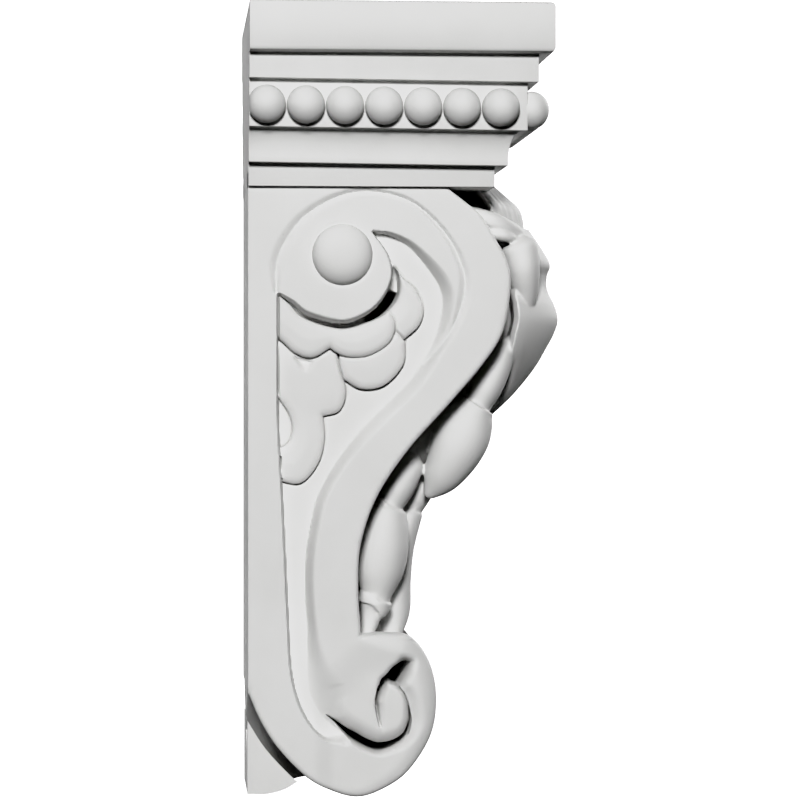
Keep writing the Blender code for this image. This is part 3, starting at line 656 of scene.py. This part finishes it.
def panel_points(outline):
    """Free points inside the outline, dense where the relief changes."""
    low, high = np.min(outline, axis=0), np.max(outline, axis=0)
    depths = np.arange(low[0], high[0], GRID)
    heights = np.arange(low[1], high[1], GRID)
    grid = np.stack(np.meshgrid(depths, heights, indexing="ij"), -1)
    flat = grid.reshape(-1, 2)
    edge = nearest(flat, outline, closed=True)[0]
    usable = inside(flat, outline) & (edge > EDGE_CLEAR)
    near_front = nearest(flat, front_line)[0] < EDGE_ROWS[-1] + EDGE_CLEAR
    level = np.zeros(len(flat))
    level[usable] = relief(flat[usable])
    level = level.reshape(len(depths), len(heights))
    lowest, highest = level.copy(), level.copy()
    for shift_a in range(-2, 3):
        for shift_b in range(-2, 3):
            moved = np.roll(level, (shift_a, shift_b), axis=(0, 1))
            lowest, highest = np.minimum(lowest, moved), np.maximum(highest, moved)
    busy = ((highest - lowest) > BUSY_CHANGE).reshape(-1)
    index_a, index_b = np.meshgrid(np.arange(len(depths)), np.arange(len(heights)), indexing="ij")
    kept_coarse = ((index_a % COARSE == 0) & (index_b % COARSE == 0)).reshape(-1)
    kept_middle = ((index_a % 2 == 0) & (index_b % 2 == 0)).reshape(-1)
    steep = ((highest - lowest) > STEEP_CHANGE).reshape(-1)
    keep = usable & ~near_front & (kept_coarse | (busy & kept_middle) | steep)
    return flat[keep]


def edge_points(outline):
    """Rows of points beside the front edge, for its rounding."""
    rows = []
    for distance in EDGE_ROWS:
        for sign in (-1, 1):
            row = beside(front_line, sign * distance)
            row = row[inside(row, outline)]
            rows.append(row[np.abs(nearest(row, outline, closed=True)[0] - distance) < 0.02])
    return np.concatenate(rows)


def sharp_points(outline):
    """Rows of points on both sides of every sharp line, so that no edge gets ragged."""
    rounds = [smooth_line(lobe, STEPS, closed=True) for rise, lobe in FIELD_LOBES]
    rounds.append(smooth_line(CURL_HOLE, STEPS, closed=True))
    rounds.append([(EYE_CENTRE[0] + EYE_RADIUS * math.cos(turn), EYE_CENTRE[1] + EYE_RADIUS * math.sin(turn))
                   for turn in np.arange(0, math.tau, 0.04)])
    rows = [beside(stepped(line, ROW_STEP, True), distance, True)
            for line in rounds for distance in SHARP_ROWS]
    for line in (CURL_CREVICE, DISC_EDGE, CURL_LINE):
        path = stepped(smooth_line(line, STEPS), ROW_STEP)
        rows += [beside(path, side * np.maximum(path[:, 2] + distance, 0)) for side in (-1, 1)
                 for distance in (-WALL, *SHARP_ROWS, WALL)]
    points = np.concatenate(rows)
    return points[inside(points, outline) & (nearest(points, outline, closed=True)[0] > EDGE_ROWS[-1])]


def spaced(points, taken):
    """The points that keep clear of the ones already taken."""
    tree = KDTree(len(taken))
    for i, point in enumerate(taken):
        tree.insert((*point, 0), i)
    tree.balance()
    return points[[tree.find((*point, 0))[2] > ROW_CLEAR for point in points]]


outline = panel_outline()
rows = np.concatenate([edge_points(outline), sharp_points(outline)])
free = np.concatenate([rows, spaced(panel_points(np.asarray(outline)), rows)])
print("points on a carved side:", len(free) + len(outline))


# %% Triangulate and raise the panel
def triangulate(points, border):
    """Triangles over the points inside a border, which is the first part of the points."""
    edges = [(i, (i + 1) % border) for i in range(border)]
    result = delaunay_2d_cdt([Vector(point) for point in points], edges, [tuple(range(border))], 1, 1e-5)
    return [tuple(point) for point in result[0]], result[2]


def make_panel(name, mirror):
    """A closed plate: the relief in front, flat behind, with cups for the pits."""
    border = len(outline)
    points, faces = triangulate([tuple(point) for point in (*outline, *free)], border)
    level = relief(np.asarray(points))
    front = np.where(level < PIT_START, PIT_END + 2 * PIT_SKIN, FACE + level)
    back = np.where(level < PIT_START, PIT_END + PIT_SKIN, FACE - PANEL)
    count = len(points)
    mesh_points = [place(d, z, mirror * across)
                   for side in (front, back) for (d, z), across in zip(points, side)]
    behind = [tuple(count + i for i in reversed(face)) for face in faces]
    walls = [((i + 1) % border, i, count + i, count + (i + 1) % border) for i in range(border)]
    return make_object(name, mesh_points, faces + behind + walls, crease=PANEL_CREASE)


panels = [make_panel("side_near", -1), make_panel("side_far", 1)]
print("triangles on a side:", sum(len(face.vertices) - 2 for face in panels[0].data.polygons))

# %% [markdown]
# ## The core
# Between the carved sides the block is plain. Its front is set back a little from the scroll bands, so that
# the leaves have something to lie on, and at the bottom it runs down to a small foot at the wall. It is one
# outline pushed across from side to side. Boolean cuts then carry the deepest parts of the carving into it
# as pits, so that they look as black as on the real casting. The gap above the foot slants as it goes in,
# which keeps its lit floor out of sight.

# %% Core and foot
CORE_RECESS = 4.5
CORE_OVERLAP = 0.05
# middle of the gap between the lower scroll and the foot, with half its width
FOOT_GAP = [(21, -127, 1.4), (15.9, -122.1, 1.9), (8.3, -113.5, 2.2), (2.8, -105, 2.2), (-1.1, -98, 2.2),
            (-4, -92, 2.2)]
CORE_LOWER = [(33, -76), (46, -79), (53, -81.2), (57.6, -88), (59.4, -98), (57, -109), (50, -119),
              (41, -124.6), (32, -125.4), (24, -123), (18.4, -124.8), (12.6, -128.2), (6.6, -129.8),
              (2, -129.8)]


def make_core():
    band = np.asarray(smooth_line([point[:2] for point in BAND_FRONT[:-2]], STEPS))
    along = np.gradient(band, axis=0)
    normal = np.stack([along[:, 1], -along[:, 0]], -1) / np.linalg.norm(along, axis=1)[:, None]
    front = [tuple(point) for point in band + CORE_RECESS * normal]
    line = [(BACK_GAP, 76)] + front + smooth_line(CORE_LOWER, STEPS) + [(BACK_GAP, -129.8)]
    half = FACE - PANEL + CORE_OVERLAP
    rows = [[place(d, z, across) for d, z in line] for across in (-half, half)]
    return make_object("core", rows[0] + rows[1], loft_faces(rows))


# %% Pits in the core
PIT_WALL = 0.4                        # how much wider a pit is than the cut in the carved side
STRAIGHT = np.zeros(2)
GAP_SLANT = np.array((-5.2, -6.0))    # how far the gap above the foot runs back and down as it goes in


def ribbon(path):
    """The outline of a cut, from its centre line with half widths."""
    half = np.asarray(path)[:, 2] + PIT_WALL
    return np.concatenate([beside(path, half), beside(path, -half)[::-1]])


def cut_pit(body, name, line, slant, mirror):
    """Cuts a pit with the given outline into one side of the core. It slants as far as told on its way in."""
    mouth = FACE - PANEL
    rows = []
    for across in (PIT_END, FACE):
        moved = np.asarray(line) + slant * (mouth - across) / (mouth - PIT_END)
        rows.append([place(d, z, mirror * across) for d, z in moved])
    pit = make_object(name, rows[0] + rows[1], loft_faces(rows), crease=None)
    cut = body.modifiers.new(name, "BOOLEAN")
    cut.operation = "DIFFERENCE"
    cut.solver = "EXACT"
    cut.object = pit
    apply_modifiers(body)
    bpy.data.objects.remove(pit)


core = make_core()
hole = smooth_line(CURL_HOLE, 3, closed=True)
hole_turn = np.sign(sum(a[0] * b[1] - b[0] * a[1] for a, b in zip(hole, hole[1:] + hole[:1])))
slot = [point for point in smooth_line([point[:3] for point in CURL_CREVICE], 3) if point[2] > 0.5]
for mirror in (-1, 1):
    cut_pit(core, "hole", beside(hole, hole_turn * PIT_WALL, closed=True), STRAIGHT, mirror)
    cut_pit(core, "slot", ribbon(slot), STRAIGHT, mirror)
    cut_pit(core, "disc_gap", ribbon(DISC_EDGE[4:8]), STRAIGHT, mirror)
    cut_pit(core, "foot_gap", ribbon(smooth_line(FOOT_GAP, 4)), GAP_SLANT, mirror)
finish_shading(core)
print("core triangles:", sum(len(face.vertices) - 2 for face in core.data.polygons))

# %% [markdown]
# ## Husks, buds and side lobes
# These are turned forms, like beads on a bent stem: each section has a centre, a radius seen from the side
# and a radius across. Drawn sections stand at every change of form, so a ring or a waist is only two
# sections that lie close together.

# %% Turned forms along a line of the side view
HUSK_LOW = [(40.0, -79.6, 12.2, 1.9, 1.9), (42.1, -69.4, 13, 4, 4), (42.6, -67.9, 13.1, 5.7, 5.7),
            (43, -65.8, 13.2, 5.9, 5.9), (43.4, -64.8, 13.3, 5, 5), (44.4, -57, 13.8, 8, 7.4),
            (45.4, -49, 14, 8.8, 8.2), (46.2, -41, 13.8, 8, 7.8), (47, -36.6, 13.5, 6.8, 7.2),
            (47.3, -35.4, 13.4, 6.4, 6.8), (47.4, -35.2, 13.3, 4.4, 5.2), (50.6, -28.8, 13, 5.5, 6.2),
            (54, -22.6, 12.6, 5, 5.6), (56, -19.2, 12.2, 3.8, 4.2), (57, -17.4, 12, 1, 1.2)]
HUSK_HIGH = [(60.6, -31.8, 12, 0.8, 0.8), (61.4, -30.6, 12.2, 2.4, 2.4), (65, -25.4, 13.2, 6.2, 6),
             (69.4, -17.6, 14, 8.6, 8),
             (72.7, -10.6, 14.1, 9.3, 8.2), (75.4, -4.8, 13.8, 7.9, 7.6), (76.7, -2.2, 13.6, 6.5, 7.2),
             (77.2, -1.2, 13.5, 6.2, 6.9), (77.3, -1, 13.5, 4.5, 5.5), (80.6, 5, 13.4, 5.2, 6.4),
             (84.2, 12.2, 13, 4.8, 5.8),
             (86.4, 17.6, 12.6, 3.9, 5), (87.6, 20.8, 12.4, 2.6, 3.6), (88.2, 22.2, 12.4, 0.8, 1)]
SIDE_LOBE = [(90.4, 54.8, 14.4, 1.2, 1.2), (90.8, 54.2, 14.4, 4.4, 4), (91.4, 52.4, 14.6, 6.2, 6),
             (92.3, 49, 14.6, 6.1, 6.4), (92.9, 45, 14.6, 5.7, 6.4), (93.4, 41, 14, 5.1, 6),
             (93.8, 37, 13, 4.4, 5.2), (94, 33, 11.8, 3.4, 4), (94, 30, 10.8, 1.4, 1.6)]
BUD = [(79.6, 56.4, 18.8, 1.2, 1.2), (82.4, 56.4, 18.8, 1.9, 2.4), (86, 55.9, 18.4, 2, 2.6),
       (89, 55.2, 17.4, 1.4, 2), (91.2, 54.6, 16.2, 0.4, 0.6)]
STEM = [(36, -80, 0, 6, 2.4), (40, -60, 0, 6, 6), (41.6, -46, 0, 6.5, 9), (46, -32, 0, 7.5, 10),
        (54, -18, 0, 8, 12), (63, -6, 0, 8.5, 13), (73, 6, 0, 8, 12), (80, 16, 0, 6, 9)]
HUSK_MIDDLE = [(49, -81, 0, 3, 2.4), (50.2, -71, 0, 5.6, 5), (50.6, -60, 0, 5.6, 7), (51.4, -50, 0, 5.7, 8),
               (53, -42, 0, 5.9, 7.6), (54.8, -36.6, 0, 5.6, 6.2), (55.4, -35.4, 0, 4.8, 5.4),
               (58.6, -29.6, 0, 5.2, 6.2), (60.4, -24, 0, 4.7, 5.4), (60.8, -19.6, 0, 3.4, 3.8),
               (60.8, -17.6, 0, 1.2, 1.4)]
TURNED_SIDES = 32


def make_turned(name, sections, mirror=1):
    line = np.asarray(smooth_line(sections, STEPS))
    outwards = beside(line, 1) - line[:, :2]
    rows = []
    for (depth, height, across, deep, wide), (out, up) in zip(line, outwards):
        turns = [math.tau * k / TURNED_SIDES for k in range(TURNED_SIDES)]
        rows.append([place(depth + out * deep * math.cos(turn), height + up * deep * math.cos(turn),
                           mirror * (across + wide * math.sin(turn))) for turn in turns])
    return make_object(name, [point for row in rows for point in row], loft_faces(rows))


# %% [markdown]
# ## Leaves down the middle
# Two leaves hang one over the other under a fluted base. A leaf is a stack of level sections: at each
# height the drawing says how far it reaches from the wall, how wide it is, and how far its edge lies behind
# the midrib. Across, the blade falls away from the midrib to a softly rolled edge, and behind it a web runs
# into the core.

# %% Leaf blades
# height, reach from the wall, half width, and fall from the midrib to the edge
LEAF_HIGH = [(59, 96.4, 12, 5), (52, 101.2, 11, 5), (47, 103.8, 9.4, 5), (43.4, 102.8, 12, 7.6),
             (40, 102.6, 15.4, 10.8), (37, 103.4, 17.6, 12.6), (33, 105.4, 18.8, 14),
             (28.2, 106.5, 19.5, 14.8),
             (23.4, 105.1, 19.4, 14.4), (18, 102.2, 17.6, 12.4), (13, 99.3, 14, 10), (8, 95.6, 9.4, 6.6),
             (2, 90.4, 5, 3.6), (-4.8, 83.2, 1, 1)]
LEAF_MIDDLE = [(17, 90, 7, 4), (5, 82.4, 9, 5), (4, 81.8, 8, 4.4), (-1, 80.6, 9.4, 5), (-8.4, 79.4, 11, 5),
               (-9.6, 79, 8.4, 4.4), (-18.6, 72.7, 9.6, 4.4), (-19.8, 71.8, 7, 4), (-27, 67, 6.8, 3.4),
               (-34, 62, 1, 1)]
LEAF_BASE = [(77, 82.4, 17, 7), (74, 84.6, 17.4, 7.6), (70.4, 88.6, 18, 9), (66.2, 93.1, 18, 10.4),
             (62, 94.6, 17, 10.6), (58, 94.9, 15, 9.6), (55, 94.7, 13, 8)]
LEAF_WEB = 25.0       # depth from the wall to which the web behind a leaf runs
BLADE_POINTS = 14     # points from the midrib to the edge
BLADE_CURVE = 1.4
EDGE_ROLL, ROLL_START = 0.8, 0.8      # how far the edge rolls back, and from which share of the width on
FLUTE_PITCH, FLUTE_DEPTH = 3.2, 0.45


def leaf_row(height, reach, half, fall, flute):
    """One level section of a leaf, from the midrib to the edge and back inside."""
    row = []
    for k in range(BLADE_POINTS + 1):
        share = k / BLADE_POINTS
        wave = 0.5 * flute * (math.cos(math.tau * share * half / FLUTE_PITCH) - 1)
        roll = EDGE_ROLL * max(0, (share - ROLL_START) / (1 - ROLL_START)) ** 2
        row.append((reach - fall * share ** BLADE_CURVE + wave - roll, share * half))
    row += [(reach - fall - EDGE_ROLL - 1.4, 0.85 * half)]
    row += [(reach - 0.8 * fall - 5, 0.3 * half), (LEAF_WEB, 0.3 * half)]
    points = [place(depth, height, across) for depth, across in row]
    return points + [place(depth, height, -across) for depth, across in row[:0:-1]]


def make_leaf(name, sections, flute=0):
    rows = [leaf_row(*section, flute) for section in smooth_line(sections, STEPS)]
    return make_object(name, [point for row in rows for point in row], loft_faces(rows))


# %% [markdown]
# ## Rolled shoulder
# Near the top the leaf's edge is rolled over into a soft shoulder that wraps round from side to side: a
# round section that follows a line in space.

# %% Shoulder
SHOULDER = [(70, 64.6, 18, 2.2), (77.6, 62.2, 18.6, 3), (84.2, 59.6, 17.4, 3.3), (89.6, 57.4, 13.6, 3),
            (93.4, 55.2, 8, 2.5), (95, 54.2, 0, 2.1)]


def make_shoulder():
    path = list(SHOULDER)
    path += [(d, z, -across, radius) for d, z, across, radius in path[-2::-1]]
    line = smooth_line(path, 5)
    centres = [Vector(place(*point[:3])) for point in line]
    rows = []
    for i, centre in enumerate(centres):
        along = (centres[min(i + 1, len(centres) - 1)] - centres[max(i - 1, 0)]).normalized()
        side = along.cross(Vector((0, 0, 1))).normalized()
        rise = side.cross(along)
        radius = line[i][3] * MM
        rows.append([centre + radius * (math.cos(turn) * side + math.sin(turn) * rise)
                     for turn in (math.tau * k / TURNED_SIDES for k in range(TURNED_SIDES))])
    return make_object("shoulder", [point for row in rows for point in row], loft_faces(rows))


# %% [markdown]
# ## Melting the front into one surface
# A carved leaf has no seams where the lobes meet. The Remesh modifier in voxel mode fills all the
# overlapping bodies with one fine skin, Smooth softens the joints as a mould does, and Decimate takes away
# the triangles that the flat parts don't need.

# %% Join, remesh and soften the front carving
VOXEL = 0.45
SOFTEN = 0.5
SOFTEN_TIMES = 3
KEPT_SHARE = 0.6


def make_front():
    shapes = [make_shoulder(), make_turned("stem", STEM), make_turned("husk_middle", HUSK_MIDDLE)]
    shapes += [make_leaf("leaf_high", LEAF_HIGH), make_leaf("leaf_middle", LEAF_MIDDLE)]
    shapes.append(make_leaf("leaf_base", LEAF_BASE, FLUTE_DEPTH))
    for name, sections in (("side_lobe", SIDE_LOBE), ("bud", BUD), ("husk_high", HUSK_HIGH),
                           ("husk_low", HUSK_LOW)):
        for side, mirror in (("near", -1), ("far", 1)):
            shapes.append(make_turned(f"{name}_{side}", sections, mirror))
    made = join("front_carving", shapes)
    skin = made.modifiers.new("skin", "REMESH")
    skin.mode = "VOXEL"
    skin.voxel_size = VOXEL * MM
    skin.use_smooth_shade = True
    soft = made.modifiers.new("soften", "SMOOTH")
    soft.factor = SOFTEN
    soft.iterations = SOFTEN_TIMES
    fewer = made.modifiers.new("fewer", "DECIMATE")
    fewer.ratio = KEPT_SHARE
    apply_modifiers(made)
    made.data.shade_smooth()
    return made


front = make_front()
print("front carving triangles:", sum(len(face.vertices) - 2 for face in front.data.polygons))

# %% [markdown]
# ## Hand the pieces to the frame
# Every piece rides on the corbel's one body and stands for its one solid.

# %% Materials and roles
for piece in [cap, beads, core, front] + panels:
    piece.data.materials.clear()
    piece.data.materials.append(primer)
    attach(piece, "root")
    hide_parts("corbel")

# %% [markdown]
# ## Light and camera
# The photo was taken from the side against pure white, with one large soft light beside the camera and a
# little above it. The key light does that. Softer lights from the front and from the far side, and a
# faint one from behind, show the corbel from its other sides. The white of the world is seen by the camera
# only and sheds no light, so the deep cuts stay dark. A bright sheet hides the horizon in the photo's view,
# and the pale floor lies well below the object.

# %% Studio
FLOOR_HEIGHT = -0.45
SHEET_DISTANCE = 1.3


def make_sheet(name, centre, turn, size, colour, glow):
    half = size / 2
    mesh = bpy.data.meshes.new(name)
    corners = [(-half, -half, 0), (half, -half, 0), (half, half, 0), (-half, half, 0)]
    mesh.from_pydata(corners, [], [(0, 1, 2, 3)])
    made = bpy.data.objects.new(name, mesh)
    bpy.context.scene.collection.objects.link(made)
    made.location = centre
    made.rotation_euler = turn
    material = bpy.data.materials.new(name)
    material.use_nodes = True
    shader = material.node_tree.nodes["Principled BSDF"]
    shader.inputs["Base Color"].default_value = (*colour, 1)
    shader.inputs["Roughness"].default_value = 0.9
    shader.inputs["Emission Color"].default_value = (1, 1, 1, 1)
    shader.inputs["Emission Strength"].default_value = glow
    mesh.materials.append(material)
    return made


def make_light(name, direction, distance, size, power):
    light = bpy.data.lights.new(name, "AREA")
    light.size = size
    light.energy = power
    made = bpy.data.objects.new(name, light)
    bpy.context.scene.collection.objects.link(made)
    towards = Vector(direction).normalized()
    made.location = towards * distance
    made.rotation_euler = towards.to_track_quat("Z", "Y").to_euler()
    return made


floor = make_sheet("floor", (0, 0, FLOOR_HEIGHT), (0, 0, 0), 6, (0.8, 0.8, 0.8), 0.25)
backdrop = make_sheet("backdrop", (SHEET_DISTANCE, 0, 0), (0, -math.pi / 2, 0), 2.2, (0.9, 0.9, 0.9), 1.6)
backdrop.visible_diffuse = False
floor.visible_diffuse = False
make_light("key", (-1, 0.08, 0.38), 2.6, 0.4, 48)
make_light("front", (0.9, -1, 0.45), 2.2, 1, 26)
make_light("far_side", (1, 0.2, 0.45), 2.2, 1, 36)
make_light("back", (0.3, 1, 0.3), 2.2, 1, 5)

world = bpy.data.worlds.new("studio")
bpy.context.scene.world = world
world.use_nodes = True
world.node_tree.nodes["Background"].inputs["Color"].default_value = (1, 1, 1, 1)
world.node_tree.nodes["Background"].inputs["Strength"].default_value = 0.7
world.cycles_visibility.diffuse = False
world.cycles_visibility.glossy = False

# %% Camera at the photo's angle
camera_data = bpy.data.cameras.new("camera")
camera_data.lens = 139.88
camera_data.sensor_width = 36
camera = bpy.data.objects.new("camera", camera_data)
bpy.context.scene.collection.objects.link(camera)
camera.location = (-1.054, 0.02645, 0.00096)
camera.rotation_euler = (math.radians(90), 0, math.radians(-4.2802 - 90))
bpy.context.scene.camera = camera

# %% [markdown]
# ## Tone
# The photo is a hard print: the shadows drop to black quickly, and the lit planes lie close together near
# white. A curve over the scene's brightness gives that contrast. Each pair is a brightness and what it
# becomes.

# %% Tone of the print
TONE = [(0.03, 0.002), (0.07, 0.026), (0.15, 0.12), (0.27, 0.285), (0.41, 0.47), (0.5, 0.61), (0.54, 0.67),
        (0.62, 0.75), (0.75, 0.8)]
view = bpy.context.scene.view_settings
view.view_transform = "Standard"
view.use_curve_mapping = True
tone = view.curve_mapping.curves[3]
for spot in TONE:
    tone.points.new(*spot)
view.curve_mapping.update()
